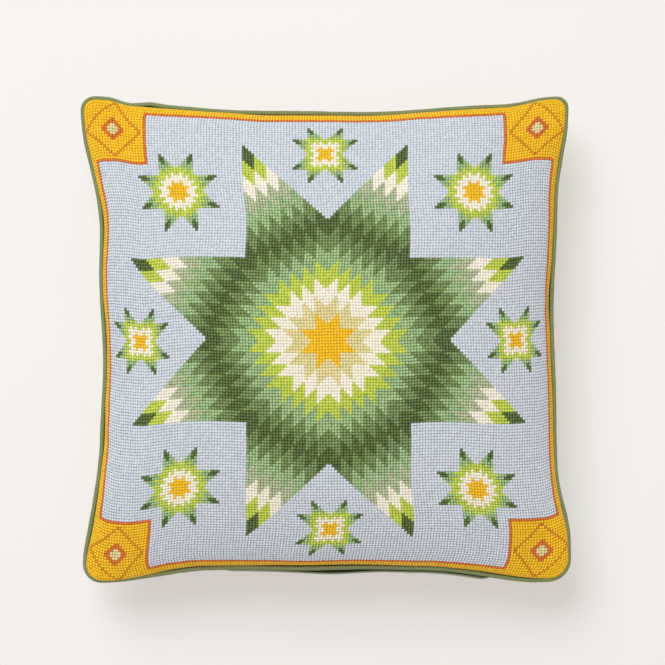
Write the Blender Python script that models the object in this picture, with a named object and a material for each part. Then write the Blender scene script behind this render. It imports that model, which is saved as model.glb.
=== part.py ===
"""A square needlepoint cushion with piped edges, lying on its back.

The cover is a worked canvas front and a plain cloth back, sewn together with piping between them.
A zip in the lower seam, under a lip of the back, lets the pad out.
Metres, +Z up. +Y is the top of the design. The cushion rests on z = 0, under the middle of the front.
"""

import math
from collections import namedtuple

import bmesh
import bpy
from mathutils import Vector

MM = 0.001

# The canvas: ten threads to the inch, worked in wool over 170 threads each way.
STITCHES = 170
THREAD_PITCH = 25.4 / 10 * MM
CANVAS_FLAT = STITCHES * THREAD_PITCH

# Where the piping's centreline turns its four corners, (x, y).
CORD_RADIUS = 1.9 * MM
STAND_OUT = CANVAS_FLAT / 2 + 1.6 * MM
TOP_LEFT = (-STAND_OUT - 3.1 * MM, STAND_OUT + 1.2 * MM)
TOP_RIGHT = (STAND_OUT + 0.2 * MM, STAND_OUT + 0.9 * MM)
LOWER_RIGHT = (STAND_OUT + 3.1 * MM, -STAND_OUT)
LOWER_LEFT = (-STAND_OUT - 0.7 * MM, -STAND_OUT - 0.8 * MM)
CORNER_RADII = {(-1, 1): 12 * MM, (1, 1): 9 * MM, (1, -1): 20 * MM, (-1, -1): 15 * MM}
TIGHTEST_TURN = 3 * MM

# How the filling pulls each side in between its corners: a step just past each corner, then a shallow sag.
# start and run are the step's distance from the corner and its length, at the lower or left end and at the other.
# A slow wave runs along the side, with one of its crests at the given place.
Side = namedtuple("Side", "step sag start run other_start other_run wave wavelength crest")
LEFT = Side(*(size * MM for size in (16.4, 2.2, 15.5, 112, 0, 133, 1.4, 150, 54)))
RIGHT = Side(*(size * MM for size in (7.2, 7.8, 37.5, 61, 22, 73, 0.7, 140, 97)))
BOTTOM = Side(*(size * MM for size in (11.8, 0.2, 18.5, 91, 30, 104, 0.5, 109, -22)))
TOP = Side(*(size * MM for size in (4.6, 10.3, 21, 23.5, 13.5, 45, 0.6, 141, -17)))
WAVE_START = 10 * MM
WAVE_RUN = 40 * MM

# The ruck where the piping buckles outwards near the upper left corner, with a small dip beside it.
RUCK_PLACE = -158 * MM
RUCK_OUT = 1.3 * MM
RUCK_LENGTH = 9 * MM
DIP_PLACE = -177 * MM
DIP_IN = 0.5 * MM

# Heights. The back is flattened where it carries the cushion.
SEAM_HEIGHT = 50 * MM
CORNER_DROOP = 6 * MM
DROOP_STARTS = 0.55
SEAM_WAVE = 0.8 * MM
FRONT_RISE = 60 * MM
BACK_DROP = 55 * MM
PAD_CLEARANCE = 1.3 * MM

# How full each flank is: a low power is a round shoulder, a high one a long slope.
CROWN = 2.4
FLANK_FRONT = {"across": 0.58, "up": 0.74, "down": 0.64}
FLANK_BACK = {"across": 0.55, "up": 0.60, "down": 0.56}

# Cloths.
FRONT_THICKNESS = 2.4 * MM
BACK_THICKNESS = 1.2 * MM
FLANGE_WIDTH = 8 * MM
FLANGE_THICKNESS = 0.8 * MM
GAP = 0.35 * MM
SEAM_GAP = 0.5 * MM
PANEL_INSET = CORD_RADIUS + SEAM_GAP
PANEL_LIFT = FLANGE_THICKNESS / 2 + SEAM_GAP
PAD_INSET = 13 * MM
ZIP_ROOM = 13 * MM
PAD_EDGE = 2 * MM

# The lip of the back that covers the zip, along the lower seam.
LIP_FROM = -130 * MM
LIP_TO = 164 * MM
LIP_FADE = 26 * MM
LIP_OUT = 6.6 * MM
LIP_WAVE = 1.6 * MM
LIP_WAVELENGTH = 140 * MM
LIP_CREST = -12 * MM
LIP_DROP = 3.0 * MM
LIP_STARTS = 0.78

# The zip lies in a slanting plane inside the lip, its chain parallel to X.
ZIP_CENTRE = Vector((20 * MM, -195.4 * MM, SEAM_HEIGHT - 10.9 * MM))
ZIP_SLANT = math.radians(124)
CHAIN_LENGTH = 226 * MM
TAPE_LENGTH = 242 * MM
TAPE_WIDTH = 11.5 * MM
TAPE_THICKNESS = 0.6 * MM
COIL_WIDTH = 1.7 * MM
COIL_HEIGHT = 1.6 * MM
CHAIN_SLIT = 1.2 * MM
STOP_LENGTH = 2.2 * MM
SLIDER_LENGTH = 9 * MM
SLIDER_WIDTH = 7.2 * MM
PLATE_THICKNESS = 0.8 * MM
WEB_THICKNESS = 0.5 * MM
RUNNING_GAP = 0.35 * MM
BRIDGE_HEIGHT = 1.9 * MM
BRIDGE_BAR = 0.7 * MM
PULL_LENGTH = 8.5 * MM
PULL_WIDTH = 3.4 * MM
PULL_THICKNESS = 0.7 * MM
PIN_RADIUS = 0.4 * MM

# How finely the curved cloths are faceted.
PANEL_FACETS = 28
PAD_FACETS = 18
CROWDING = 0.6
CORD_SIDES = 8


def clear_scene():
    for obj in list(bpy.data.objects):
        bpy.data.objects.remove(obj, do_unlink=True)


def material(name, colour, roughness, metallic=0.0):
    made = bpy.data.materials.new(name)
    made.use_nodes = True
    shader = made.node_tree.nodes["Principled BSDF"]
    shader.inputs["Base Color"].default_value = (*colour, 1)
    shader.inputs["Roughness"].default_value = roughness
    shader.inputs["Metallic"].default_value = metallic
    return made


def add_object(name, mesh, finish, collection, parent=None):
    obj = bpy.data.objects.new(name, mesh)
    mesh.materials.append(finish)
    collection.objects.link(obj)
    obj.parent = parent
    return obj


# The cushion's shape, as functions of a and b, which run from -1 to 1 across and up it.


def ease(x):
    x = min(1.0, max(0.0, x))
    return x * x * (3 - 2 * x)


def blend(low, high, share):
    """From low at share -1 to high at share 1."""
    return low + (high - low) * (share + 1) / 2


def pulled_in(side, share):
    """How far a side lies inside the straight line between its corners."""
    from_start = (1 + share) * STAND_OUT
    from_end = (1 - share) * STAND_OUT
    step = ease((from_start - side.start) / side.run) * ease((from_end - side.other_start) / side.other_run)
    swell = ease((from_start - WAVE_START) / WAVE_RUN) * ease((from_end - WAVE_START) / WAVE_RUN)
    wave = side.wave * swell * math.cos(2 * math.pi * (share * STAND_OUT - side.crest) / side.wavelength)
    return side.step * step + side.sag * max(0, 1 - share * share) ** 1.5 - wave


def plan(a, b):
    """Where a point of the flat canvas lies in plan, once the sides are pulled in."""
    left = blend(LOWER_LEFT[0], TOP_LEFT[0], b) + pulled_in(LEFT, b)
    right = blend(LOWER_RIGHT[0], TOP_RIGHT[0], b) - pulled_in(RIGHT, b)
    bottom = blend(LOWER_LEFT[1], LOWER_RIGHT[1], a) + pulled_in(BOTTOM, a)
    top = blend(TOP_LEFT[1], TOP_RIGHT[1], a) - pulled_in(TOP, a)
    return blend(left, right, a), blend(bottom, top, b)


def round_corner(a, b, inset):
    """Draws a square's point in by inset, and rounds the square's corners as the cushion's are rounded there."""
    edge = 1 - inset / STAND_OUT
    a, b = a * edge, b * edge
    corner = CORNER_RADII[(1 if a > 0 else -1, 1 if b > 0 else -1)]
    radius = max(TIGHTEST_TURN, corner - inset) / STAND_OUT
    across = (abs(a) - edge) / radius + 1
    up = (abs(b) - edge) / radius + 1
    if across <= 0 or up <= 0:
        return a, b
    turn = radius * max(across, up) / math.hypot(across, up)
    return math.copysign(edge - radius + turn * across, a), math.copysign(edge - radius + turn * up, b)


def seam_height(a, b):
    """The height of the seam that joins the panels, carried on smoothly under the whole cushion."""
    edge = max(abs(a), abs(b)) ** 4
    droop = CORNER_DROOP * ease((abs(a) - DROOP_STARTS) / 0.4) * ease((abs(b) - DROOP_STARTS) / 0.4)
    wave = SEAM_WAVE * edge * math.sin(3 * math.atan2(b, a) + 0.6)
    return SEAM_HEIGHT - droop + wave


def fullness(a, b, flank):
    """How full the cushion is at a point: 1 in the middle and 0 along the seam."""
    power = flank["up"] if b > 0 else flank["down"]
    return (1 - min(1, abs(a)) ** CROWN) ** flank["across"] * (1 - min(1, abs(b)) ** CROWN) ** power


def seam_point(a, b, inset):
    """A point of the seam's surface, on an outline that lies inside the piping's centreline by inset."""
    edge = 1 - inset / STAND_OUT
    return (*plan(*round_corner(a, b, inset)), seam_height(a * edge, b * edge))


def front_point(a, b, inset, rise, lift):
    x, y, seam = seam_point(a, b, inset)
    return Vector((x, y, seam + lift + rise * fullness(a, b, FLANK_FRONT)))


def lip_share(x, b):
    """How much of the zip's lip there is at a point of the back, from 0 to 1."""
    along = ease((x - LIP_FROM) / LIP_FADE) * ease((LIP_TO - x) / LIP_FADE)
    return along * ease((-b - LIP_STARTS) / (1 - LIP_STARTS))


def back_point(a, b, inset, drop, lift, floor):
    x, y, seam = seam_point(a, b, inset)
    z = seam - lift - drop * fullness(a, b, FLANK_BACK)
    lip = lip_share(x, b)
    out = LIP_OUT + LIP_WAVE * math.cos(2 * math.pi * (x - LIP_CREST) / LIP_WAVELENGTH)
    dropped, stands_out = ease(3 * lip), ease((lip - 0.33) / 0.67)
    return Vector((x, y - out * stands_out, max(floor, z - LIP_DROP * dropped)))


# Closed cloths, made from two grids that are joined along their edges.


def crowded(share):
    """Moves an evenly spaced share, from -1 to 1, towards the nearer end."""
    share = max(-1.0, min(1.0, share))
    return (1 - CROWDING) * share + CROWDING * math.sin(math.pi / 2 * share)


def add_grid(mesh, facets, point):
    """Adds a square grid, closer together towards its edges, with each point placed by point(a, b)."""
    grid = bmesh.ops.create_grid(mesh, x_segments=facets, y_segments=facets, size=1)
    for vertex in grid["verts"]:
        vertex.co = point(crowded(vertex.co.x), crowded(vertex.co.y))
    faces = {face for vertex in grid["verts"] for face in vertex.link_faces}
    edges = {edge for face in faces for edge in face.edges}
    return list(faces), [edge for edge in edges if edge.is_boundary]


def closed_cloth(name, facets, upper, lower, finish, collection):
    """A closed solid between an upper and a lower grid."""
    mesh = bmesh.new()
    _, upper_edge = add_grid(mesh, facets, upper)
    lower_faces, lower_edge = add_grid(mesh, facets, lower)
    bmesh.ops.reverse_faces(mesh, faces=lower_faces)
    bmesh.ops.bridge_loops(mesh, edges=upper_edge + lower_edge)
    bmesh.ops.recalc_face_normals(mesh, faces=mesh.faces)
    if mesh.calc_volume(signed=True) < 0:
        bmesh.ops.reverse_faces(mesh, faces=mesh.faces)
    flat = [edge for edge in mesh.edges if all(vertex.co.z < 1e-7 for vertex in edge.verts)]
    inner = [e for e in flat if len(e.link_faces) == 2 and all(abs(f.normal.z) > 0.9999 for f in e.link_faces)]
    bmesh.ops.dissolve_edges(mesh, edges=inner, use_verts=True)
    data = bpy.data.meshes.new(name)
    mesh.to_mesh(data)
    mesh.free()
    data.shade_smooth()
    data.set_sharp_from_angle(angle=math.radians(45))
    return add_object(name, data, finish, collection)


def front_panel(collection):
    """The worked canvas, domed by the pad."""
    return closed_cloth(
        "front_panel",
        PANEL_FACETS,
        lambda a, b: front_point(a, b, PANEL_INSET, FRONT_RISE, PANEL_LIFT),
        lambda a, b: front_point(
            a, b, PANEL_INSET + FRONT_THICKNESS, FRONT_RISE - FRONT_THICKNESS, PANEL_LIFT
        ),
        material("wool_needlepoint", (0.36, 0.46, 0.30), 0.95),
        collection,
    )


def back_panel(collection):
    """The plain back, flat where it rests, with the lip over the zip."""
    return closed_cloth(
        "back_panel",
        PANEL_FACETS,
        lambda a, b: back_point(
            a, b, PANEL_INSET + BACK_THICKNESS, BACK_DROP - BACK_THICKNESS, PANEL_LIFT, BACK_THICKNESS
        ),
        lambda a, b: back_point(a, b, PANEL_INSET, BACK_DROP, PANEL_LIFT, 0),
        material("green_cotton", (0.17, 0.22, 0.10), 0.8),
        collection,
    )


def inner_pad(collection):
    """The stuffed pad that fills the cover, clear of the seam's flange and of the zip."""
    spare = PAD_CLEARANCE + PAD_EDGE / 2
    top = FRONT_RISE - FRONT_THICKNESS - spare
    bottom = BACK_DROP - BACK_THICKNESS - spare

    def inset(b):
        return PAD_INSET + ZIP_ROOM * ease((-b - 0.55) / 0.45)

    def lower(a, b):
        x, y, seam = seam_point(a, b, inset(b))
        z = seam - PAD_EDGE / 2 - bottom * fullness(a, b, FLANK_BACK)
        return Vector((x, y, max(BACK_THICKNESS + PAD_CLEARANCE, z)))

    return closed_cloth(
        "inner_pad",
        PAD_FACETS,
        lambda a, b: front_point(a, b, inset(b), top, PAD_EDGE / 2),
        lower,
        material("cotton_cambric", (0.80, 0.77, 0.70), 0.9),
        collection,
    )


# The piping: a cord in a folded strip of the back's cloth, whose flange is sewn between the panels.


def ruck(x):
    """How far the piping of the upper side stands out from its seam, or in."""
    crest = RUCK_OUT * math.exp(-(((x - RUCK_PLACE) / RUCK_LENGTH) ** 2))
    dip = DIP_IN * math.exp(-(((x - DIP_PLACE) / RUCK_LENGTH) ** 2))
    return crest - dip


def cord_line():
    """Points along the piping's centreline, all the way round."""
    square = [crowded(2 * k / PANEL_FACETS - 1) for k in range(PANEL_FACETS)]
    edges = (
        [(share, -1) for share in square]
        + [(1, share) for share in square]
        + [(-share, 1) for share in square]
        + [(-1, -share) for share in square]
    )
    line = []
    for a, b in edges:
        x, y, z = seam_point(a, b, 0)
        line.append((x, y + ruck(x) if b == 1 else y, z))
    return line


def piping_section():
    """A round cord with a thin flange on its inner side."""
    curve = bpy.data.curves.new("piping_section", "CURVE")
    curve.dimensions = "2D"
    neck = math.asin(FLANGE_THICKNESS / 2 / CORD_RADIUS)
    points = [(-FLANGE_WIDTH, -FLANGE_THICKNESS / 2), (-FLANGE_WIDTH, FLANGE_THICKNESS / 2)]
    for k in range(CORD_SIDES + 1):
        angle = math.pi - neck - k * (2 * math.pi - 2 * neck) / CORD_SIDES
        points.append((CORD_RADIUS * math.cos(angle), CORD_RADIUS * math.sin(angle)))
    spline = curve.splines.new("POLY")
    spline.points.add(len(points) - 1)
    for point, place in zip(spline.points, points):
        point.co = (*place, 0, 1)
    spline.use_cyclic_u = True
    return curve


def piping(collection, helpers):
    section = bpy.data.objects.new("piping_section", piping_section())
    section.hide_render = True
    section.display_type = "WIRE"
    helpers.objects.link(section)
    curve = bpy.data.curves.new("piping", "CURVE")
    curve.dimensions = "3D"
    curve.twist_mode = "Z_UP"
    curve.bevel_mode = "OBJECT"
    curve.bevel_object = section
    places = cord_line()
    spline = curve.splines.new("POLY")
    spline.points.add(len(places) - 1)
    for point, place in zip(spline.points, places):
        point.co = (*place, 1)
    spline.use_cyclic_u = True
    return add_object("piping", curve, material("green_cotton_piping", (0.22, 0.27, 0.15), 0.6), collection)


# The zip, in its own frame: x along the chain, y up the tape towards the piping, z out towards the lip.


def box_mesh(boxes):
    """A mesh of boxes, each given by its lowest and highest corner."""
    mesh = bmesh.new()
    for low, high in boxes:
        made = bmesh.ops.create_cube(mesh, size=1)
        for vertex in made["verts"]:
            vertex.co = Vector([low[k] + (vertex.co[k] + 0.5) * (high[k] - low[k]) for k in range(3)])
    data = bpy.data.meshes.new("boxes")
    mesh.to_mesh(data)
    mesh.free()
    return data


def tape(name, side, finish, collection, frame):
    """One woven tape. side is 1 for the upper one and -1 for the lower one."""
    near = CHAIN_SLIT / 2 + GAP
    low = min(side * near, side * TAPE_WIDTH)
    data = box_mesh([((-TAPE_LENGTH / 2, low, -TAPE_THICKNESS), (TAPE_LENGTH / 2, low + TAPE_WIDTH - near, 0))])
    return add_object(name, data, finish, collection, frame)


def coil(name, side, finish, collection, frame):
    """One half of the chain, lying on its tape."""
    near, far = side * CHAIN_SLIT / 2, side * (CHAIN_SLIT / 2 + COIL_WIDTH)
    low, high = min(near, far), max(near, far)
    data = box_mesh([((-CHAIN_LENGTH / 2, low, GAP), (CHAIN_LENGTH / 2, high, GAP + COIL_HEIGHT))])
    return add_object(name, data, finish, collection, frame)


def stop(name, side, finish, collection, frame):
    """A bar across the chain's end that keeps the slider on it. side is 1 at the +X end."""
    start = side * (CHAIN_LENGTH / 2 + GAP)
    ends = sorted((start, start + side * STOP_LENGTH))
    width = CHAIN_SLIT / 2 + COIL_WIDTH
    data = box_mesh([((ends[0], -width, GAP), (ends[1], width, GAP + COIL_HEIGHT))])
    return add_object(name, data, finish, collection, frame)


def joined(name, pieces, finish, collection, frame):
    """One solid from boxes that overlap, by a Boolean union."""
    base = add_object(name, box_mesh(pieces[:1]), finish, collection, frame)
    others = bpy.data.collections.new(name + "_pieces")
    bpy.context.scene.collection.children.link(others)
    for number, piece in enumerate(pieces[1:]):
        obj = bpy.data.objects.new(f"{name}_piece_{number}", box_mesh([piece]))
        obj.parent = frame
        others.objects.link(obj)
    union = base.modifiers.new("union", "BOOLEAN")
    union.operation = "UNION"
    union.operand_type = "COLLECTION"
    union.collection = others
    bpy.context.view_layer.update()
    graph = bpy.context.evaluated_depsgraph_get()
    whole = bpy.data.meshes.new_from_object(base.evaluated_get(graph))
    base.modifiers.clear()
    base.data = whole
    for obj in list(others.objects):
        bpy.data.objects.remove(obj, do_unlink=True)
    bpy.data.collections.remove(others)
    return base


SLIDER_CENTRE = CHAIN_LENGTH / 2 - SLIDER_LENGTH / 2
PLATE_TOP = GAP + COIL_HEIGHT + RUNNING_GAP + PLATE_THICKNESS
PIN_HEIGHT = PLATE_TOP + (BRIDGE_HEIGHT - BRIDGE_BAR) / 2
PIN_PLACE = SLIDER_CENTRE + 1.0 * MM


def slider(finish, collection, frame):
    """The slider: a plate over the coils and one under the tapes, joined by a web in the slit between them."""
    ends = (SLIDER_CENTRE - SLIDER_LENGTH / 2, SLIDER_CENTRE + SLIDER_LENGTH / 2)
    half = SLIDER_WIDTH / 2
    over = PLATE_TOP - PLATE_THICKNESS
    under = -TAPE_THICKNESS - RUNNING_GAP
    wall = half - PLATE_THICKNESS
    bridge = (PIN_PLACE - 2.4 * MM, PIN_PLACE + 2.4 * MM)
    bar = BRIDGE_BAR
    sink = 0.2 * MM
    pieces = [
        ((ends[0], -half, over), (ends[1], half, PLATE_TOP)),
        ((ends[0], -half, under - PLATE_THICKNESS), (ends[1], half, under)),
        ((ends[1] - 3 * MM, -WEB_THICKNESS / 2, under - sink), (ends[1], WEB_THICKNESS / 2, over + sink)),
        ((ends[0], -half, GAP), (ends[1], -wall, over + sink)),
        ((ends[0], wall, GAP), (ends[1], half, over + sink)),
        ((bridge[0], -bar, PLATE_TOP - sink), (bridge[0] + bar, bar, PLATE_TOP + BRIDGE_HEIGHT)),
        ((bridge[1] - bar, -bar, PLATE_TOP - sink), (bridge[1], bar, PLATE_TOP + BRIDGE_HEIGHT)),
        ((bridge[0], -bar, PLATE_TOP + BRIDGE_HEIGHT - bar), (bridge[1], bar, PLATE_TOP + BRIDGE_HEIGHT)),
    ]
    return joined("zip_slider", pieces, finish, collection, frame)


def pull(finish, collection, frame):
    """The pull tab: a plate with two arms and a pin that turns under the slider's bridge."""
    hinge = bpy.data.objects.new("zip_pull_hinge", None)
    hinge.parent = frame
    hinge.location = (PIN_PLACE, 0, PIN_HEIGHT)
    collection.objects.link(hinge)
    half = PULL_WIDTH / 2
    arm = 0.7 * MM
    thick = PULL_THICKNESS / 2
    plate_at = -3.2 * MM
    pieces = [
        ((-PIN_RADIUS, -half, -PIN_RADIUS), (PIN_RADIUS, half, PIN_RADIUS)),
        ((plate_at - 0.2 * MM, -half, -thick), (PIN_RADIUS, -half + arm, thick)),
        ((plate_at - 0.2 * MM, half - arm, -thick), (PIN_RADIUS, half, thick)),
        ((-PULL_LENGTH, -half, -thick), (plate_at, half, thick)),
    ]
    return joined("zip_pull", pieces, finish, collection, hinge)


def zip_fastener(collection):
    frame = bpy.data.objects.new("zip_frame", None)
    frame.location = ZIP_CENTRE
    frame.rotation_euler = (ZIP_SLANT, 0, 0)
    collection.objects.link(frame)
    woven = material("zip_tape", (0.15, 0.19, 0.10), 0.85)
    nylon = material("zip_nylon", (0.13, 0.17, 0.09), 0.45)
    metal = material("zip_metal", (0.55, 0.50, 0.38), 0.35, 1.0)
    tape("zip_tape_upper", 1, woven, collection, frame)
    tape("zip_tape_lower", -1, woven, collection, frame)
    coil("zip_coil_upper", 1, nylon, collection, frame)
    coil("zip_coil_lower", -1, nylon, collection, frame)
    stop("zip_stop_right", 1, metal, collection, frame)
    stop("zip_stop_left", -1, metal, collection, frame)
    slider(metal, collection, frame)
    pull(metal, collection, frame)


def main():
    clear_scene()
    cushion = bpy.data.collections.new("needlepoint_cushion")
    helpers = bpy.data.collections.new("guides")
    bpy.context.scene.collection.children.link(cushion)
    bpy.context.scene.collection.children.link(helpers)
    front_panel(cushion)
    back_panel(cushion)
    inner_pad(cushion)
    piping(cushion, helpers)
    zip_fastener(cushion)


main()
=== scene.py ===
import math
from collections import namedtuple

import bmesh
import bpy
import numpy as np
from mathutils import Matrix, Vector


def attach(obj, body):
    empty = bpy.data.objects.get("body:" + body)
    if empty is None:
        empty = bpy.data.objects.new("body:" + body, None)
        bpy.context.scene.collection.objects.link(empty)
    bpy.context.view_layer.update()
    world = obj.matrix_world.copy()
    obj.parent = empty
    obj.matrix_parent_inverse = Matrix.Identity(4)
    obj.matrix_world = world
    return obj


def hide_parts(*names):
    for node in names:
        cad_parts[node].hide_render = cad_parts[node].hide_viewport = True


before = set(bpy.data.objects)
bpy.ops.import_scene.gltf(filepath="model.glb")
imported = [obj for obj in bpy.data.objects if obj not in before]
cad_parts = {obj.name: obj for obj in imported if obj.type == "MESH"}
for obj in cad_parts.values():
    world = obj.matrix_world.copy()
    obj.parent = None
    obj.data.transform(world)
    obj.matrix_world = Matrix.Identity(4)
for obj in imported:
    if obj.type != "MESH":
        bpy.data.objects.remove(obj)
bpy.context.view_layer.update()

MM = 0.001


# The seam line. The worked canvas and the back are sewn together all round with piping between them, and
# the filling then pulls each side in between its corners. Every cloth of the cover hangs from this line.

THREADS = 170
THREAD_PITCH = 25.4 / 10 * MM
CORD_RADIUS = 1.9 * MM
STAND_OUT = THREADS * THREAD_PITCH / 2 + 1.6 * MM
TOP_LEFT = (-STAND_OUT - 3.1 * MM, STAND_OUT + 1.2 * MM)
TOP_RIGHT = (STAND_OUT + 0.2 * MM, STAND_OUT + 0.9 * MM)
LOWER_RIGHT = (STAND_OUT + 3.1 * MM, -STAND_OUT)
LOWER_LEFT = (-STAND_OUT - 0.7 * MM, -STAND_OUT - 0.8 * MM)
TURN_TOP_LEFT, TURN_TOP_RIGHT, TURN_LOWER_RIGHT, TURN_LOWER_LEFT = (r * MM for r in (12, 9, 20, 15))
TIGHTEST_TURN = 3 * MM
Side = namedtuple("Side", "step sag start run other_start other_run wave wavelength crest")
LEFT = Side(*(size * MM for size in (16.4, 2.2, 15.5, 112, 0, 133, 1.4, 150, 54)))
RIGHT = Side(*(size * MM for size in (7.2, 7.8, 37.5, 61, 22, 73, 0.7, 140, 97)))
BOTTOM = Side(*(size * MM for size in (11.8, 0.2, 18.5, 91, 30, 104, 0.5, 109, -22)))
TOP = Side(*(size * MM for size in (4.6, 10.3, 21, 23.5, 13.5, 45, 0.6, 141, -17)))
WAVE_START = 10 * MM
WAVE_RUN = 40 * MM
SEAM_HEIGHT = 50 * MM
CORNER_DROOP = 6 * MM
DROOP_STARTS = 0.55
DROOP_RUN = 0.4
SEAM_WAVE = 0.8 * MM
SEAM_WAVE_PHASE = 0.6


def ease(x):
    x = np.clip(x, 0, 1)
    return x * x * (3 - 2 * x)


def blend(low, high, share):
    return low + (high - low) * (share + 1) / 2


def pulled_in(side, share):
    """How far a side lies inside the straight line between its corners. share runs from -1 to 1 along it."""
    from_start, from_end = (1 + share) * STAND_OUT, (1 - share) * STAND_OUT
    step = ease((from_start - side.start) / side.run) * ease((from_end - side.other_start) / side.other_run)
    swell = ease((from_start - WAVE_START) / WAVE_RUN) * ease((from_end - WAVE_START) / WAVE_RUN)
    wave = side.wave * swell * np.cos(2 * math.pi * (share * STAND_OUT - side.crest) / side.wavelength)
    return side.step * step + side.sag * np.clip(1 - share * share, 0, 1) ** 1.5 - wave


def plan(a, b):
    """Where a point of the cover lies, seen from above. a and b run from -1 to 1 across and up it."""
    left = blend(LOWER_LEFT[0], TOP_LEFT[0], b) + pulled_in(LEFT, b)
    right = blend(LOWER_RIGHT[0], TOP_RIGHT[0], b) - pulled_in(RIGHT, b)
    bottom = blend(LOWER_LEFT[1], LOWER_RIGHT[1], a) + pulled_in(BOTTOM, a)
    top = blend(TOP_LEFT[1], TOP_RIGHT[1], a) - pulled_in(TOP, a)
    return blend(left, right, a), blend(bottom, top, b)


def rounded(a, b, inset):
    """Draws a square's points in by inset, and rounds its corners as the cushion's are rounded there."""
    edge = 1 - inset / STAND_OUT
    a, b = a * edge, b * edge
    upper = np.where(a > 0, TURN_TOP_RIGHT, TURN_TOP_LEFT)
    lower = np.where(a > 0, TURN_LOWER_RIGHT, TURN_LOWER_LEFT)
    radius = np.maximum(TIGHTEST_TURN, np.where(b > 0, upper, lower) - inset) / STAND_OUT
    across, up = (abs(a) - edge) / radius + 1, (abs(b) - edge) / radius + 1
    in_corner = (across > 0) & (up > 0)
    turn = radius * np.maximum(across, up) / np.maximum(np.hypot(across, up), 1e-9)
    turned_a = np.copysign(edge - radius + turn * across, a)
    turned_b = np.copysign(edge - radius + turn * up, b)
    return np.where(in_corner, turned_a, a), np.where(in_corner, turned_b, b)


def seam_point(a, b, inset):
    """Points of the seam's surface, on an outline that lies inside the piping's centreline by inset."""
    edge = 1 - inset / STAND_OUT
    da, db = a * edge, b * edge
    in_corner = ease((abs(da) - DROOP_STARTS) / DROOP_RUN) * ease((abs(db) - DROOP_STARTS) / DROOP_RUN)
    wave = SEAM_WAVE * np.maximum(abs(da), abs(db)) ** 4 * np.sin(3 * np.arctan2(db, da) + SEAM_WAVE_PHASE)
    x, y = plan(*rounded(a, b, inset))
    return x, y, SEAM_HEIGHT - CORNER_DROOP * in_corner + wave


# The canvas. Cotton canvas with ten threads to the inch, 170 threads each way, blocked square after it was
# worked and then domed by the pad. Its edge, thick with wool, rolls up beside the piping and leans out over
# it. Between the stitches it is given the colour of the wool over it, darkened as painted shade in the holes.

CROWN = 2.4
FRONT_FULLNESS = (0.58, 0.74, 0.64)
FRONT_RISE = 60 * MM
FRONT_EDGE_LIFT = 0.3 * MM
FRONT_INSET = CORD_RADIUS + 0.7 * MM
ROLL = 2.0 * MM
ROLL_REACH = 0.4 * MM
ROLL_FADE = 25 * MM
OVERHANG_HEIGHT = 2.5 * MM
# Places round the seam with how far the edge leans out near each, and how near that is, all in millimetres.
OVERHANG_REACH = 20
OVERHANG = (
    (-220, 206, 2.8), (-219, 191, 1.6), (-215, 170, 1.5), (-210, 147, 1.4), (-207, 133, 2.0),
    (-205, 110, -0.4), (-204, 80, 1.0), (-204, 45, 1.3), (-202, 10, 0.2), (-201, -25, 0.8),
    (-203, -60, 1.3), (-203, -84, -1.2), (-205, -108, 1.3), (-209, -140, 0.8), (-213, -165, 0.1),
    (-218, -185, 0.3), (-220, -200, 2.0), (-207, -218, 3.4), (-193, -219, 3.4), (-178, -217, 3.4),
    (-160, -214, 1.6), (-135, -211, -0.4), (-106, -207, -0.1), (-90, -208, 1.0), (-63, -209, 0.6),
    (-34, -209, -1.6), (-10, -211, -2.4), (20, -209, -0.4), (50, -209, 0.3), (80, -209, 0.5),
    (96, -210, 0.9), (125, -214, 0.5), (154, -215, -0.2), (183, -218, 0.4), (203, -218, 2.2),
    (220, -204, 3.0), (221, -188, 2.3), (219, -168, 2.1), (214, -148, 0.5), (211, -130, 2.7),
    (208, -105, 1.7), (208, -80, 1.5), (207, -50, 1.2), (206, -26, 0.6), (205, 5, 0.9),
    (204, 40, -1.0), (206, 66, 1.1), (208, 97, 0.9), (209, 118, 1.5), (211, 140, 1.3),
    (213, 162, 1.2), (214, 176, 1.3), (216, 191, 2.4), (219, 206, 2.8), (200, 219, 3.0),
    (172, 214, 2.5), (154, 211, 2.0), (130, 210, 1.6), (105, 209, 1.7), (80, 207, 2.3),
    (60, 206, 1.5), (38, 205, 1.3), (9, 204, 1.3), (-20, 205, 0.9), (-62, 205, 0.5),
    (-84, 206, 2.6), (-106, 209, 1.9), (-135, 210, 1.6), (-155, 211, 0.9), (-172, 213, 2.6),
    (-193, 218, 1.8), (-207, 219, 2.8),
)
LIFT_SHARE = 0.5
LIFT_FROM = 1 * MM
LIFT_RUN = 2 * MM
LIFT_FADE = 20 * MM
FRONT_RELIEF_SEED = 3
STITCH_STAND = 0.75 * MM
PUCKER = 0.4 * MM
PUCKER_LENGTHS = (17 * MM, 24 * MM, 37 * MM)
PUCKER_FADE = 9 * MM
PUCKER_RUN = 3 * MM
LUMP = 0.7 * MM
LUMP_TURNS = ((4.1, 2.3), (-3.0, 4.7), (6.2, -1.1), (1.7, 6.5))
LUMP_RUN = 40 * MM
WANDER = 0.0016
FINE_POINTS = 401
EVENING_ROUNDS = 3


def fullness(a, b, across, up, down):
    """How full the cushion is: 1 in the middle and 0 along the seam. A low power is a round shoulder."""
    power = np.where(b > 0, up, down)
    return np.clip(1 - abs(a) ** CROWN, 0, 1) ** across * np.clip(1 - abs(b) ** CROWN, 0, 1) ** power


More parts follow.
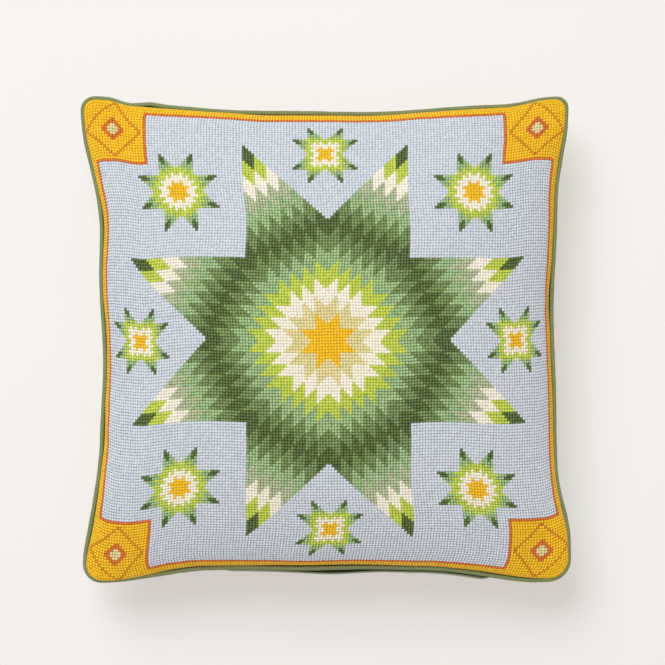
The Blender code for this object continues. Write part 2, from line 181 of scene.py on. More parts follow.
def soft_relief(a, b, seed):
    """Small puckers that fade away from the seam, and the broad lumps of the filling, as heights."""
    chance = np.random.default_rng(seed)
    edge_a, edge_b = (1 - abs(a)) * STAND_OUT, (1 - abs(b)) * STAND_OUT
    pucker = np.zeros_like(a)
    for length in PUCKER_LENGTHS:
        phase = chance.uniform(0, 2 * math.pi, 2)
        turn = 2 * math.pi * STAND_OUT / length
        pucker += np.sin(turn * a + phase[0]) * np.exp(-edge_b / PUCKER_FADE) / len(PUCKER_LENGTHS)
        pucker += np.sin(turn * b + phase[1]) * np.exp(-edge_a / PUCKER_FADE) / len(PUCKER_LENGTHS)
    lump = np.zeros_like(a)
    for turn_a, turn_b in LUMP_TURNS:
        lump += np.sin(turn_a * a + turn_b * b + chance.uniform(0, 2 * math.pi)) / len(LUMP_TURNS)
    edge = np.minimum(edge_a, edge_b)
    return PUCKER * pucker * np.clip(edge / PUCKER_RUN, 0, 1) + LUMP * lump * np.clip(edge / LUMP_RUN, 0, 1)


def overhang_at(x, y):
    """How far the worked canvas stands out over the piping, near a point of the seam."""
    total, share = 1e-9, 1e-9
    for place_x, place_y, out in OVERHANG:
        weight = np.exp(-(((x / MM - place_x) ** 2 + (y / MM - place_y) ** 2) / OVERHANG_REACH**2))
        total, share = total + weight * out, share + weight
    return total / share * MM


def front_point(a, b):
    """A point of the worked front. Its thick edge rolls up beside the piping and then leans out over it."""
    from_edge = np.minimum(1 - abs(a), 1 - abs(b)) * STAND_OUT
    roll = ROLL * (1 - np.exp(-from_edge / ROLL_REACH)) * np.exp(-from_edge / ROLL_FADE)
    rise = FRONT_RISE * fullness(a, b, *FRONT_FULLNESS) + roll
    x, y, seam = seam_point(a, b, FRONT_INSET)
    out = overhang_at(x, y)
    leant = out * rise / OVERHANG_HEIGHT * np.exp(1 - rise / OVERHANG_HEIGHT)
    x, y, seam = seam_point(a, b, FRONT_INSET - leant)
    lift = LIFT_SHARE * np.maximum(out - LIFT_FROM, 0)
    lift = lift * (1 - np.exp(-rise / LIFT_RUN)) * np.exp(-rise / LIFT_FADE)
    height = seam + FRONT_EDGE_LIFT + rise + lift + soft_relief(a, b, FRONT_RELIEF_SEED)
    return np.stack([x, y, height], axis=-1)


def wandering(a, b):
    """How far the threads of the blocked canvas wander off their straight lines."""
    off_a = np.sin(9.1 * b + 2.3 * a + 0.4) + 0.6 * np.sin(21.7 * b - 4.0 * a)
    off_b = np.sin(8.3 * a - 3.1 * b + 1.9) + 0.6 * np.sin(19.3 * a + 5.2 * b)
    return WANDER * off_a * (1 - a * a), WANDER * off_b * (1 - b * b)


def even_lattice(point, steps):
    """A lattice of steps + 1 points each way, evenly spaced along the cloth and not along the plan."""
    fine = np.sin(np.linspace(-math.pi / 2, math.pi / 2, FINE_POINTS))
    a, b = np.meshgrid(fine, fine)
    place = point(a, b)
    spacing_a = np.linalg.norm(np.diff(place, axis=1), axis=2)
    spacing_b = np.linalg.norm(np.diff(place, axis=0), axis=2).T
    share = np.linspace(0, 1, steps + 1)

    def spread(spacing):
        """For each fine line, where its evenly spaced points lie."""
        along = np.cumsum(np.concatenate([np.zeros((len(spacing), 1)), spacing], axis=1), axis=1)
        return np.array([np.interp(share, line / line[-1], fine) for line in along])

    across, up = spread(spacing_a), spread(spacing_b)
    flat_a, flat_b = np.meshgrid(2 * share - 1, 2 * share - 1)
    for _ in range(EVENING_ROUNDS):
        column = np.stack([np.interp(flat_b[:, k], fine, across[:, k]) for k in range(steps + 1)], axis=1)
        row = np.stack([np.interp(flat_a[k], fine, up[:, k]) for k in range(steps + 1)], axis=0)
        flat_a, flat_b = column, row
    off_a, off_b = wandering(flat_a, flat_b)
    return point(flat_a + off_a, flat_b + off_b)


def outward(lattice):
    """The outward direction at each point of a lattice."""
    direction = np.cross(np.gradient(lattice, axis=1), np.gradient(lattice, axis=0))
    return direction / np.linalg.norm(direction, axis=2, keepdims=True)


canvas_lattice = even_lattice(front_point, THREADS)
canvas_outward = outward(canvas_lattice)
canvas_lattice -= canvas_outward * STITCH_STAND


# The wools. Tapestry wool in eleven shades. The design is a quilter's star in greens and cream on a pale
# blue-grey ground, with eight small stars about it and a golden border with a patchwork block at each corner.

# Each shade's screen colour, and the share of it that is left as painted shade where the wool goes down
# between the stitches.
WOOLS = {
    "ground": ((215, 221, 229), 0.66),
    "deep_green": ((108, 130, 70), 0.15),
    "leaf_green": ((138, 164, 100), 0.24),
    "mid_green": ((177, 210, 150), 0.30),
    "sage": ((200, 210, 167), 0.38),
    "lime": ((208, 224, 86), 0.50),
    "cream": ((244, 236, 218), 0.80),
    "straw": ((236, 222, 160), 0.62),
    "golden": ((253, 198, 32), 0.64),
    "amber": ((228, 144, 34), 0.5),
    "red_orange": ((232, 122, 52), 0.5),
}
WOOL_NAMES = list(WOOLS)
HOLE_SHADE_DEPTH = 0.6
STAR_RINGS = (
    "golden straw cream lime mid_green leaf_green deep_green leaf_green mid_green sage cream lime deep_green"
)
SMALL_STAR_RINGS = "golden cream lime mid_green deep_green"
STAR, CORNER_STAR, SIDE_STAR = (6, 4, 7), (3, 2, 3), (2, 2, 3)
CORNER_STAR_PLACE = 51
SIDE_STAR_PLACE = 66
BORDER = 4
BLOCK = 23
BLOCK_RING = (9.5, 11)
BLOCK_DIAMOND = 5
BLOCK_HEART = 3


def star_ring(x, y, straight, slant, diamonds):
    """The ring of diamonds that a stitch of an eight-pointed star is in, or -1 outside it.

    straight and slant are how many stitches a diamond's straight and slanting sides run over.
    """
    far, near = np.maximum(abs(x), abs(y)), np.minimum(abs(x), abs(y))
    along, over = np.floor((far - near) / straight), np.floor(near / slant)
    return np.where((along < diamonds) & (over < diamonds), along + over, -1)


def worked_design():
    """The wool of each stitch, as a number in WOOL_NAMES, by row from the bottom and then by column."""
    step = np.arange(THREADS) - (THREADS - 1) / 2
    x, y = np.meshgrid(step, step)
    design = np.full((THREADS, THREADS), WOOL_NAMES.index("ground"))

    def work(where, wool):
        design[where] = WOOL_NAMES.index(wool)

    def work_star(ring, rings):
        for number, wool in enumerate(rings.split()):
            work(ring == number, wool)

    corner_x, corner_y = abs(x) - CORNER_STAR_PLACE, abs(y) - CORNER_STAR_PLACE
    work_star(star_ring(x, y, *STAR), STAR_RINGS)
    work_star(star_ring(corner_x, corner_y, *CORNER_STAR), SMALL_STAR_RINGS)
    work_star(star_ring(abs(x) - SIDE_STAR_PLACE, y, *SIDE_STAR), SMALL_STAR_RINGS)
    work_star(star_ring(x, abs(y) - SIDE_STAR_PLACE, *SIDE_STAR), SMALL_STAR_RINGS)
    in_x, in_y = THREADS / 2 - abs(x), THREADS / 2 - abs(y)
    from_edge, in_block = np.minimum(in_x, in_y), np.maximum(in_x, in_y) < BLOCK
    work((from_edge < BORDER + 1) | (np.maximum(in_x, in_y) < BLOCK + 1), "red_orange")
    work((from_edge < BORDER) | in_block, "golden")
    block_middle = (BLOCK + 1) / 2
    diamond = abs(in_x - block_middle) + abs(in_y - block_middle)
    work(in_block & (diamond < BLOCK_RING[1]) & (diamond >= BLOCK_RING[0]), "amber")
    work(in_block & (diamond < BLOCK_DIAMOND), "red_orange")
    work(in_block & (diamond < BLOCK_HEART), "straw")
    return design


def dyed(red, green, blue, depth=1.0):
    """The linear colour of a shade that is given as a screen colour, made darker by depth."""
    screen = (c / 255 for c in (red, green, blue))
    return [depth * (c / 12.92 if c <= 0.04045 else ((c + 0.055) / 1.055) ** 2.4) for c in screen]


design = worked_design()


def lie_on(lattice, s, t):
    """Values of a lattice at fractional places, s along its rows and t up its columns."""
    s, t = np.clip(s, 0, len(lattice) - 1.0001), np.clip(t, 0, len(lattice) - 1.0001)
    i, j = s.astype(int), t.astype(int)
    u, v = (s - i)[:, None], (t - j)[:, None]
    low = lattice[j, i] * (1 - u) + lattice[j, i + 1] * u
    high = lattice[j + 1, i] * (1 - u) + lattice[j + 1, i + 1] * u
    return low * (1 - v) + high * v


def node(tree, kind, **values):
    """A new node in a material's tree, with these settings."""
    made = tree.nodes.new(kind)
    for key, value in values.items():
        setattr(made, key, value)
    return made


def cloth_material(name, roughness, sheen):
    """A material with its shader's constant values set. Returns it with its node tree and shader."""
    made = bpy.data.materials.new(name)
    made.use_nodes = True
    shader = made.node_tree.nodes["Principled BSDF"]
    shader.inputs["Roughness"].default_value = roughness
    shader.inputs["Sheen Weight"].default_value = sheen
    shader.inputs["Sheen Roughness"].default_value = 0.5
    shader.inputs["Specular IOR Level"].default_value = 0.25
    return made, made.node_tree, shader


def two_tones(tree, shader, low, high, share):
    """Colours the shader between two colours, by a node output that runs from 0 to 1."""
    mixed = node(tree, "ShaderNodeMix", data_type="RGBA")
    mixed.inputs["A"].default_value = (*low, 1)
    mixed.inputs["B"].default_value = (*high, 1)
    tree.links.new(share, mixed.inputs["Factor"])
    tree.links.new(mixed.outputs["Result"], shader.inputs["Base Color"])


def raised(tree, shader, height, strength, distance):
    """Bumps the shader by a node output."""
    bump = node(tree, "ShaderNodeBump")
    bump.inputs["Strength"].default_value = strength
    bump.inputs["Distance"].default_value = distance
    tree.links.new(height, bump.inputs["Height"])
    tree.links.new(bump.outputs["Normal"], shader.inputs["Normal"])


def as_piece(name, mesh, *materials, smooth=False):
    """A piece of the scene with this mesh, which is used up, and these materials."""
    data = bpy.data.meshes.new(name)
    mesh.to_mesh(data)
    mesh.free()
    if smooth:
        data.shade_smooth()
    for material in materials:
        data.materials.append(material)
    piece = bpy.data.objects.new(name, data)
    bpy.context.scene.collection.objects.link(piece)
    return piece


def canvas_material():
    """Canvas given the colour of the wool over it, darkened as painted shade between the stitches."""
    made, tree, shader = cloth_material("canvas_between_stitches", 0.95, 0.0)
    wool = node(tree, "ShaderNodeAttribute", attribute_name="wool")
    tree.links.new(wool.outputs["Color"], shader.inputs["Base Color"])
    return made


def stretched_canvas():
    """The canvas sheet under the stitches, one face to a thread crossing."""
    mesh = bmesh.new()
    bmesh.ops.create_grid(mesh, x_segments=THREADS, y_segments=THREADS, size=THREADS / 2)
    shade = mesh.faces.layers.int.new("crossing")
    for face in mesh.faces:
        middle = face.calc_center_median()
        i, j = int(middle.x + THREADS / 2), int(middle.y + THREADS / 2)
        face[shade] = j * THREADS + i
    for vertex in mesh.verts:
        i, j = round(vertex.co.x + THREADS / 2), round(vertex.co.y + THREADS / 2)
        vertex.co = canvas_lattice[j, i]
    canvas = as_piece("canvas", mesh, canvas_material())
    data = canvas.data
    crossing = np.empty(len(data.polygons), int)
    data.attributes["crossing"].data.foreach_get("value", crossing)
    # Painted shade: each hole takes its wool's colour, darkened, where the canvas shows between stitches.
    under = [[*dyed(*colour, depth=HOLE_SHADE_DEPTH * between), 1] for colour, between in WOOLS.values()]
    tint = data.attributes.new("wool", "FLOAT_COLOR", "CORNER")
    tint.data.foreach_set("color", np.repeat(np.array(under)[design.ravel()[crossing]], 4, axis=0).ravel())
    return canvas


canvas = stretched_canvas()
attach(canvas, "cushion")
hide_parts("front_panel")


# The stitches. Each is one tent stitch of tapestry wool over one crossing of the canvas, from its lower left
# hole to its upper right one. They are worked one shade at a time.

STITCH_SEED = 5
STITCH_HALF_LENGTH = 0.67
STITCH_HALF_WIDTH = 0.47
STITCH_TAPER = 0.66
STITCH_BULGE = 0.6
STITCH_HEIGHT = 0.95 * MM
STITCH_TUCK = 0.15 * MM
UNEVEN_TURN = math.radians(3.5)
UNEVEN_SIZE = 0.035
UNEVEN_PLACE = 0.022
UNEVEN_SHADE = 0.07
CROWN_SHADE = 0.85
PLY_SHADE = 0.2
PLY_TURN = math.radians(25)
PLY_SCALE = 520
PLY_RELIEF = 0.15 * MM
MOST_STITCHES = 8200


def stitch_mesh():
    """The seen side of one plump stitch, in thread pitches across and up and in metres from the canvas."""
    mesh = bmesh.new()
    bmesh.ops.create_grid(mesh, x_segments=4, y_segments=3, size=1)
    for vertex in mesh.verts:
        along, over, _ = vertex.co
        vertex.co.x = STITCH_HALF_LENGTH * along
        plump = 1 + STITCH_BULGE - STITCH_BULGE * over**2
        vertex.co.y = STITCH_HALF_WIDTH * (1 - STITCH_TAPER * along**2) * over * plump
        vertex.co.z = STITCH_HEIGHT * (1 - along**2) * (1 - over**4) - STITCH_TUCK
    bmesh.ops.rotate(mesh, verts=mesh.verts, matrix=Matrix.Rotation(math.pi / 4, 3, "Z"))
    for face in mesh.faces:
        face.smooth = True
    data = bpy.data.meshes.new("stitch")
    mesh.to_mesh(data)
    mesh.free()
    return data


def wool_material(name, colour, between):
    """Matte wool of twisted plies, with painted shade where a stitch goes down between its neighbours and in
    the grooves between its plies.
    """
    made, tree, shader = cloth_material(name + "_wool", 0.9, 0.15)
    place = node(tree, "ShaderNodeTexCoord")
    height = node(tree, "ShaderNodeAttribute", attribute_name="shade")
    turned = node(tree, "ShaderNodeMapping")
    turned.inputs["Rotation"].default_value = (0, 0, PLY_TURN)
    tree.links.new(place.outputs["Object"], turned.inputs["Vector"])
    plies = node(tree, "ShaderNodeTexWave")
    plies.inputs["Scale"].default_value = PLY_SCALE
    plies.inputs["Distortion"].default_value = 1.5
    plies.inputs["Detail"].default_value = 2
    plies.inputs["Detail Scale"].default_value = 2
    tree.links.new(turned.outputs["Vector"], plies.inputs["Vector"])
    both = node(tree, "ShaderNodeMath", operation="MULTIPLY_ADD")
    both.inputs[1].default_value = PLY_SHADE
    tree.links.new(plies.outputs["Fac"], both.inputs[0])
    tree.links.new(height.outputs["Fac"], both.inputs[2])
    two_tones(tree, shader, dyed(*colour, depth=between), dyed(*colour), both.outputs["Value"])
    raised(tree, shader, plies.outputs["Fac"], 0.5, PLY_RELIEF)
    return made


def copies_of(name, stitch, count):
    """One mesh that holds this many copies of a stitch, all in one place."""
    each = bpy.data.objects.new(name + "_each", stitch)
    bpy.context.scene.collection.objects.link(each)
    copies = each.modifiers.new("copies", "ARRAY")
    copies.count = count
    copies.use_relative_offset = False
    copies.use_constant_offset = True
    copies.constant_offset_displace = (0, 0, 0)
    bpy.context.view_layer.update()
    graph = bpy.context.evaluated_depsgraph_get()
    data = bpy.data.meshes.new_from_object(each.evaluated_get(graph))
    bpy.data.objects.remove(each)
    data.name = name
    return data


def worked_stitches(name, stitch, rows, columns, material, chance):
    """All the given stitches of one shade, each a copy of the stitch laid on its crossing."""
    data = copies_of(name, stitch, len(rows))
    corners = len(stitch.vertices)
    local = np.empty(len(data.vertices) * 3)
    data.vertices.foreach_get("co", local)
    local = local.reshape(-1, 3)
    turn = chance.normal(0, UNEVEN_TURN, len(rows)).repeat(corners)
    size = chance.normal(1, UNEVEN_SIZE, len(rows)).repeat(corners)
    shift = chance.normal(0, UNEVEN_PLACE, (len(rows), 2)).repeat(corners, axis=0)
    across = (local[:, 0] * np.cos(turn) - local[:, 1] * np.sin(turn)) * size
    up = (local[:, 0] * np.sin(turn) + local[:, 1] * np.cos(turn)) * size
    s = columns.repeat(corners) + 0.5 + shift[:, 0] + across
    t = rows.repeat(corners) + 0.5 + shift[:, 1] + up
    lifted = lie_on(canvas_outward, s, t) * local[:, 2:]
    data.vertices.foreach_set("co", (lie_on(canvas_lattice, s, t) + lifted).ravel())
    # Painted shade: the colour darkens from a stitch's crown to its rim, where it goes down between its
    # neighbours.
    crown = np.clip(local[:, 2] / (STITCH_HEIGHT - STITCH_TUCK), 0, 1)
    worn = chance.normal(0, UNEVEN_SHADE, len(rows)).repeat(corners)
    shade = data.attributes.new("shade", "FLOAT", "POINT")
    shade.data.foreach_set("value", CROWN_SHADE * crown + worn)
    data.materials.append(material)
    piece = bpy.data.objects.new(name, data)
    bpy.context.scene.collection.objects.link(piece)
    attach(piece, "cushion")
    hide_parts("front_panel")
    return piece


stitch = stitch_mesh()
chance = np.random.default_rng(STITCH_SEED)
for number, (shade, (colour, between)) in enumerate(WOOLS.items()):
    rows, columns = np.nonzero(design == number)
    material = wool_material(shade, colour, between)
    lots = math.ceil(len(rows) / MOST_STITCHES)
    for lot, chosen in enumerate(np.array_split(np.arange(len(rows)), lots)):
        name = f"{shade}_stitches" + (f"_{lot + 1}" if lots > 1 else "")
        worked_stitches(name, stitch, rows[chosen], columns[chosen], material, chance)


# The piping. A cotton cord in a strip of green cotton cut on the bias, sewn all round between the canvas and
# the back. Its two ends meet in a slanting join in the lower side.

CORD_STEPS = 900
FLANGE_STEPS = 600
ROUND_STEPS = 16
SIDE_POINTS = 400
CORD_INSIDE = 0.05 * MM
CORD_WELD = 0.01 * MM
JOIN_PLACE = 100.5 * MM
JOIN_SLANT = 1.4 * MM
JOIN_REACH = 0.9 * MM
JOIN_SWELL = 0.2 * MM
LOWER_SIDE = -190 * MM
LONG_RIPPLES = (0.05 * MM, 61)
SHORT_RIPPLES = (0.04 * MM, 143)
RUCK_PLACE = -158 * MM
RUCK_OUT = 1.3 * MM
RUCK_LENGTH = 9 * MM
DIP_PLACE = -177 * MM
DIP_IN = 0.5 * MM
FLANGE_OUTER = CORD_RADIUS - 0.4 * MM
FLANGE_INNER = CORD_RADIUS + 6.0 * MM
FLANGE_THICKNESS = 0.8 * MM
THREAD_RELIEF = 0.08 * MM
FADED, DEEP = 1.15, 0.78


def seam_line(inset, count):
    """Evenly spaced points round the seam, with the outward direction in plan and the distance along it."""
    side = np.sin(np.linspace(-math.pi / 2, math.pi / 2, SIDE_POINTS, endpoint=False))
    ones = np.ones_like(side)
    a = np.concatenate([side, ones, -side, -ones])
    b = np.concatenate([-ones, side, ones, -side])
    line = np.stack(seam_point(a, b, inset), axis=-1)
    crest = RUCK_OUT * np.exp(-(((line[:, 0] - RUCK_PLACE) / RUCK_LENGTH) ** 2))
    dip = DIP_IN * np.exp(-(((line[:, 0] - DIP_PLACE) / RUCK_LENGTH) ** 2))
    line[:, 1] += np.where(b == 1, crest - dip, 0)
    closed = np.concatenate([line, line[:1]])
    along = np.concatenate([[0], np.cumsum(np.linalg.norm(np.diff(closed, axis=0), axis=1))])
    distance = np.linspace(0, along[-1], count, endpoint=False)
    even = np.stack([np.interp(distance, along, closed[:, k]) for k in range(3)], axis=-1)
    forward = np.roll(even, -1, axis=0) - np.roll(even, 1, axis=0)
    out = np.stack([forward[:, 1], -forward[:, 0], np.zeros(count)], axis=-1)
    return even, out / np.linalg.norm(out, axis=1, keepdims=True), distance, along[-1]


def plain_cotton(name, colour, weave, coordinate, roughness, sheen):
    """Plain-woven cotton with a soft nap. weave sets how fine its threads are."""
    made, tree, shader = cloth_material(name, roughness, sheen)
    place = node(tree, "ShaderNodeTexCoord")
    turned = node(tree, "ShaderNodeMapping")
    turned.inputs["Rotation"].default_value = (0, 0, math.radians(45 if coordinate == "UV" else 0))
    tree.links.new(place.outputs[coordinate], turned.inputs["Vector"])
    heights = []
    for direction in ("X", "Y"):
        wave = node(tree, "ShaderNodeTexWave", bands_direction=direction)
        wave.inputs["Scale"].default_value = weave
        wave.inputs["Distortion"].default_value = 0.6
        wave.inputs["Detail"].default_value = 1
        tree.links.new(turned.outputs["Vector"], wave.inputs["Vector"])
        heights.append(wave.outputs["Fac"])
    woven = node(tree, "ShaderNodeMath", operation="MULTIPLY")
    tree.links.new(heights[0], woven.inputs[0])
    tree.links.new(heights[1], woven.inputs[1])
    cloudy = node(tree, "ShaderNodeTexNoise")
    cloudy.inputs["Scale"].default_value = 90 if coordinate == "Object" else 60
    cloudy.inputs["Detail"].default_value = 5
    tree.links.new(place.outputs[coordinate], cloudy.inputs["Vector"])
    two_tones(tree, shader, dyed(*colour, depth=DEEP), dyed(*colour, depth=FADED), cloudy.outputs["Fac"])
    raised(tree, shader, woven.outputs["Value"], 0.6, THREAD_RELIEF)
    return made


def piping_cord():
    """The cord in its cover, a little uneven all round and thicker along its slanting join."""
    line, out, distance, length = seam_line(0, CORD_STEPS)
    mesh = bmesh.new()
    bmesh.ops.create_grid(mesh, x_segments=CORD_STEPS, y_segments=ROUND_STEPS, size=0.5)
    uv = mesh.loops.layers.uv.new("strip")
    for face in mesh.faces:
        for loop in face.loops:
            along, turned = loop.vert.co.x + 0.5, loop.vert.co.y + 0.5
            loop[uv].uv = (along * length, turned * 2 * math.pi * CORD_RADIUS)
    for vertex in mesh.verts:
        k = round((vertex.co.x + 0.5) * CORD_STEPS) % CORD_STEPS
        turn = (vertex.co.y + 0.5) * 2 * math.pi
        from_join = line[k][0] - JOIN_PLACE - JOIN_SLANT * math.sin(turn)
        joined = math.exp(-((from_join / JOIN_REACH) ** 2)) if line[k][1] < LOWER_SIDE else 0
        round_seam = distance[k] / length * 2 * math.pi
        uneven = LONG_RIPPLES[0] * math.sin(LONG_RIPPLES[1] * round_seam)
        uneven += SHORT_RIPPLES[0] * math.sin(SHORT_RIPPLES[1] * round_seam + 2 * turn)
        radius = CORD_RADIUS - CORD_INSIDE + JOIN_SWELL * joined + uneven
        away = Vector(out[k]) * math.cos(turn) + Vector((0, 0, 1)) * math.sin(turn)
        vertex.co = Vector(line[k]) + away * radius
    bmesh.ops.remove_doubles(mesh, verts=mesh.verts, dist=CORD_WELD)
    bmesh.ops.recalc_face_normals(mesh, faces=mesh.faces)
    cotton = plain_cotton("piping_cotton", (121, 131, 84), 900, "UV", 0.62, 0.15)
    return as_piece("piping_cord", mesh, cotton, smooth=True)


piping = piping_cord()
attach(piping, "cushion")
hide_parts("piping")


def seam_flange():
    """The strip's two raw edges, sewn flat between the canvas and the back, coloured dark green as painted
    shade in the seam's groove.
    """
    outer = seam_line(FLANGE_OUTER, FLANGE_STEPS)[0]
    inner = seam_line(FLANGE_INNER, FLANGE_STEPS)[0]
    mesh = bmesh.new()
    bmesh.ops.create_circle(mesh, segments=FLANGE_STEPS, radius=2)
    bmesh.ops.create_circle(mesh, segments=FLANGE_STEPS, radius=1)
    mesh.verts.ensure_lookup_table()
    for k in range(FLANGE_STEPS):
        mesh.verts[k].co = outer[k]
        mesh.verts[FLANGE_STEPS + k].co = inner[k]
    bmesh.ops.bridge_loops(mesh, edges=mesh.edges)
    bmesh.ops.recalc_face_normals(mesh, faces=mesh.faces)
    # Painted shade: the flange is the piping's cotton, darkened for the shade in the groove under the cord.
    cotton = plain_cotton("flange_cotton_painted_shade", (40, 46, 22), 520, "Object", 0.9, 0.0)
    piece = as_piece("piping_flange", mesh, cotton)
    thick = piece.modifiers.new("two layers", "SOLIDIFY")
    thick.thickness = FLANGE_THICKNESS
    thick.offset = -1
    return piece


flange = seam_flange()
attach(flange, "cushion")
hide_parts("piping")


# The back. Plain green cotton, cut a little longer than the front along its lower edge and folded into a lip
# that hides the zip. It is flat where the cushion rests on it. Its wrong side, seen in the lip's gap, is in
# deep shade and is given a darker green.

BACK_INSET = CORD_RADIUS + 0.5 * MM
BACK_EDGE_DROP = 0.9 * MM
BACK_FULLNESS = (0.55, 0.60, 0.56)
BACK_RELIEF_SEED = 8
BACK_FLOOR = 0.3 * MM
BACK_DROP = 55 * MM
BACK_THICKNESS = 1.0 * MM
BACK_STEPS = 176
LIP_FROM = -140 * MM
LIP_TO = 172 * MM
LIP_FADE_IN = 66 * MM
LIP_FADE_OUT = 36 * MM
LIP_OUT = 7.1 * MM
LIP_SLANT = 0.006
LIP_GAPE = 2.1 * MM
GAPE_PLACE = 10 * MM
GAPE_REACH = 30 * MM
LIP_DROP = 3.0 * MM
LIP_STARTS = 0.78
OUT_FROM = 0.33
OUT_RUN = 0.67
LEAN_FROM = 0.5
LEAN_RUN = 0.5
LEAN = 2.9 * MM
LEAN_DEPTH = 1.6 * MM


def back_point(a, b):
    """A point of the back. Its lip stands out under the piping, and its very edge leans back up to it."""
    x, y, seam = seam_point(a, b, BACK_INSET)
    z = seam - BACK_EDGE_DROP - BACK_DROP * fullness(a, b, *BACK_FULLNESS)
    lip = ease((x - LIP_FROM) / LIP_FADE_IN) * ease((LIP_TO - x) / LIP_FADE_OUT)
    lip = lip * ease((-b - LIP_STARTS) / (1 - LIP_STARTS))
    out = LIP_OUT + LIP_SLANT * x + LIP_GAPE * np.exp(-(((x - GAPE_PLACE) / GAPE_REACH) ** 2))
    lean = LEAN * ease(1 - (1 + b) * STAND_OUT / LEAN_DEPTH) - LEAN_DEPTH
    y = y - out * ease((lip - OUT_FROM) / OUT_RUN) + lean * ease((lip - LEAN_FROM) / LEAN_RUN)
    z = z - soft_relief(a, b, BACK_RELIEF_SEED) - LIP_DROP * ease(3 * lip)
    return np.stack([x, y, np.maximum(z, BACK_FLOOR)], axis=-1)


def laid_grid(mesh, lattice):
    """Adds a square grid to the bmesh, laid on the points of a lattice."""
    steps = len(lattice) - 1
    made = bmesh.ops.create_grid(mesh, x_segments=steps, y_segments=steps, size=steps / 2)
    for vertex in made["verts"]:
        i, j = round(vertex.co.x + steps / 2), round(vertex.co.y + steps / 2)
        vertex.co = lattice[j, i]


def back_cloth():
    """The back with its lip, its face outwards and its wrong side in."""
    mesh = bmesh.new()
    laid_grid(mesh, even_lattice(back_point, BACK_STEPS))
    bmesh.ops.reverse_faces(mesh, faces=mesh.faces)
    face = plain_cotton("back_cotton", (112, 124, 82), 520, "Object", 0.8, 0.4)
    # Painted shade: the wrong side is the same cotton, given a darker green for the shade in the lip's gap.
    wrong_side = plain_cotton("back_cotton_wrong_side_painted_shade", (50, 58, 34), 520, "Object", 0.9, 0.0)
    piece = as_piece("back_cloth", mesh, face, wrong_side, smooth=True)
    thick = piece.modifiers.new("cloth", "SOLIDIFY")
    thick.thickness = BACK_THICKNESS
    thick.offset = -1
    thick.material_offset = 1
    return piece


back = back_cloth()
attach(back, "cushion")
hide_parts("back_panel")


# The pad. A bag of undyed cambric, stuffed with feather and down. It is blown up as cloth from a slightly
# smaller shape until it fills the cover, which it is taken out of through the zip.

PAD_STEPS = 72
PAD_SWELL = 4 * MM
PAD_INSET = 13 * MM + PAD_SWELL
PAD_RISE = 54.5 * MM - PAD_SWELL
PAD_DROP = 51 * MM - PAD_SWELL
PAD_FLOOR = 2.2 * MM
PAD_RELIEF_SEED = 21
PAD_VOXEL = 8 * MM
PAD_WELD = 0.02 * MM
PAD_PRESSURE = 4
SWELL_FRAMES = 20
ZIP_ROOM = 13 * MM
ZIP_ROOM_STARTS = 0.55
ZIP_ROOM_RUN = 0.45


def pad_side(up):
    """The upper or lower half of the pad before it swells, as a lattice of points."""
    share = np.sin(np.linspace(-math.pi / 2, math.pi / 2, PAD_STEPS + 1))
    a, b = np.meshgrid(share, share)
    inset = PAD_INSET + ZIP_ROOM * ease((-b - ZIP_ROOM_STARTS) / ZIP_ROOM_RUN)
    x, y, seam = seam_point(a, b, inset)
    if up:
        height = seam + PAD_RISE * fullness(a, b, *FRONT_FULLNESS)
    else:
        height = seam - PAD_DROP * fullness(a, b, *BACK_FULLNESS)
    height = height + soft_relief(a, b, PAD_RELIEF_SEED)
    return np.stack([x, y, np.maximum(height, PAD_FLOOR)], axis=-1)


def points_of(data):
    """A mesh's points, one to a row."""
    place = np.empty(len(data.vertices) * 3)
    data.vertices.foreach_get("co", place)
    return place.reshape(-1, 3)


def applied(piece):
    """The piece's mesh with its modifiers as they stand at this frame."""
    graph = bpy.context.evaluated_depsgraph_get()
    return bpy.data.meshes.new_from_object(piece.evaluated_get(graph))


def swell(piece):
    """Blows a closed bag up as cloth, with no point moved further than the swell or below the pad's floor."""
    voxels = piece.modifiers.new("voxels", "REMESH")
    voxels.voxel_size = PAD_VOXEL
    slack = applied(piece)
    piece.modifiers.clear()
    piece.data = slack
    cloth = piece.modifiers.new("blown up", "CLOTH")
    cloth.settings.use_pressure = True
    cloth.settings.uniform_pressure_force = PAD_PRESSURE
    cloth.settings.effector_weights.gravity = 0
    for step in range(1, SWELL_FRAMES + 1):
        bpy.context.scene.frame_set(step)
    move = points_of(applied(piece)) - points_of(slack)
    piece.modifiers.clear()
    bpy.context.scene.frame_set(1)
    reach = np.linalg.norm(move, axis=1, keepdims=True)
    full = points_of(slack) + move * np.minimum(1, PAD_SWELL / np.maximum(reach, 1e-9))
    full[:, 2] = np.maximum(full[:, 2], PAD_FLOOR)
    slack.vertices.foreach_set("co", full.ravel())
    slack.shade_smooth()
    finer = piece.modifiers.new("finer", "SUBSURF")
    finer.levels = 1
    finer.render_levels = 1


def stuffed_pad():
    """The bag, still slack."""
    mesh = bmesh.new()
    for up in (True, False):
        laid_grid(mesh, pad_side(up))
    bmesh.ops.remove_doubles(mesh, verts=mesh.verts, dist=PAD_WELD)
    bmesh.ops.recalc_face_normals(mesh, faces=mesh.faces)
    cambric = plain_cotton("cambric", (228, 222, 206), 700, "Object", 0.85, 0.2)
    return as_piece("stuffed_pad", mesh, cambric, smooth=True)


pad = stuffed_pad()
swell(pad)
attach(pad, "cushion")
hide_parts("inner_pad")


# The zip. Two woven tapes, a nylon chain and a plated slider with its pull, sewn inside the lip. It closes
# towards the right, and its stops, slider and pull are dull plated metal.

ZIP_RELIEF = 0.3 * MM
RIB_GROOVE_SHADE = 0.6
PLATING = (196, 188, 164)


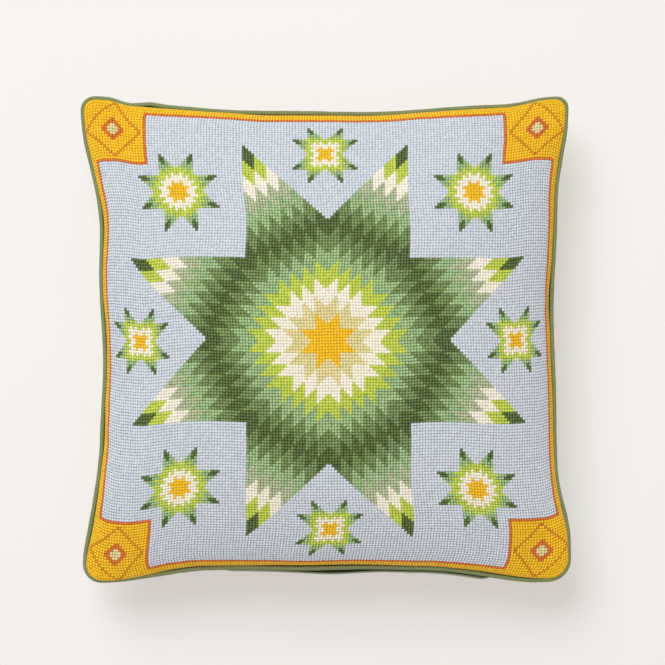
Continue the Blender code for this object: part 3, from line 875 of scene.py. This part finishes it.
def zip_material(name, colour, roughness, metallic, bands):
    """A finish with fine ribs across the zip's length, with painted shade in the grooves between them. bands
    sets how fine they are.
    """
    made, tree, shader = cloth_material(name, roughness, 0.0)
    shader.inputs["Metallic"].default_value = metallic
    place = node(tree, "ShaderNodeTexCoord")
    ribs = node(tree, "ShaderNodeTexWave", bands_direction="X")
    ribs.inputs["Scale"].default_value = bands
    ribs.inputs["Distortion"].default_value = 0.3
    tree.links.new(place.outputs["Object"], ribs.inputs["Vector"])
    # Painted shade: the colour darkens in the grooves between the ribs.
    two_tones(tree, shader, dyed(*colour, depth=RIB_GROOVE_SHADE), dyed(*colour), ribs.outputs["Fac"])
    raised(tree, shader, ribs.outputs["Fac"], 0.8, ZIP_RELIEF)
    return made


zip_finishes = {
    "zip_tape": zip_material("zip_tape_weave", (84, 94, 60), 0.85, 0.0, 400),
    "zip_coil": zip_material("zip_coil_nylon", (78, 88, 56), 0.4, 0.0, 210),
    "zip_stop": zip_material("zip_plating", PLATING, 0.35, 1.0, 60),
    "zip_slider": zip_material("zip_slider_plating", PLATING, 0.32, 1.0, 45),
    "zip_pull": zip_material("zip_pull_plating", PLATING, 0.3, 1.0, 45),
}
for name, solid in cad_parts.items():
    for start, finish in zip_finishes.items():
        if name.startswith(start):
            for slot in solid.material_slots:
                slot.material = finish


# Where it is photographed: on its back on a warm white floor, under a large soft light beyond its top edge,
# by a camera that looks straight down from just under two metres.

PIXEL_AT_SEAM = 0.902 * MM
PICTURE_WIDTH = 665
CAMERA_PLACE = (5.9 * MM, 6.4 * MM)
CAMERA_HEIGHT = 1.95
SENSOR_WIDTH = 36
FLOOR_STEPS = 8
FLOOR_HALF = 12
AIM = (0, 0, 0.03)


def warm_floor():
    """A wide sheet of warm white paper."""
    mesh = bmesh.new()
    bmesh.ops.create_grid(mesh, x_segments=FLOOR_STEPS, y_segments=FLOOR_STEPS, size=FLOOR_HALF)
    made = bpy.data.materials.new("floor_paper")
    made.use_nodes = True
    shader = made.node_tree.nodes["Principled BSDF"]
    shader.inputs["Base Color"].default_value = (*dyed(229, 225, 222), 1)
    shader.inputs["Roughness"].default_value = 0.95
    shader.inputs["Specular IOR Level"].default_value = 0.0
    return as_piece("floor", mesh, made)


floor = warm_floor()

sky = bpy.data.worlds.new("studio")
sky.use_nodes = True
sky.node_tree.nodes["Background"].inputs["Color"].default_value = (1.0, 0.965, 0.93, 1)
sky.node_tree.nodes["Background"].inputs["Strength"].default_value = 0.15
bpy.context.scene.world = sky


def soft_light(name, place, size, power, colour):
    """A round soft light that faces the cushion."""
    lamp = bpy.data.lights.new(name, "AREA")
    lamp.shape = "DISK"
    lamp.size = size
    lamp.energy = power
    lamp.color = colour
    lit = bpy.data.objects.new(name, lamp)
    lit.location = place
    lit.rotation_euler = (Vector(AIM) - Vector(place)).to_track_quat("-Z", "Y").to_euler()
    bpy.context.scene.collection.objects.link(lit)


soft_light("window", (-1.8, 3.6, 3.75), 4.2, 168, (0.95, 1.02, 1.07))
soft_light("overhead", (0.02, -0.02, 3.6), 0.4, 91, (1.0, 0.975, 0.95))

lens = bpy.data.cameras.new("camera")
lens.sensor_width = SENSOR_WIDTH
lens.lens = SENSOR_WIDTH * (CAMERA_HEIGHT - SEAM_HEIGHT) / (PICTURE_WIDTH * PIXEL_AT_SEAM)
camera = bpy.data.objects.new("camera", lens)
camera.location = (*CAMERA_PLACE, CAMERA_HEIGHT)
bpy.context.scene.collection.objects.link(camera)
bpy.context.scene.camera = camera
bpy.context.scene.view_settings.view_transform = "Standard"
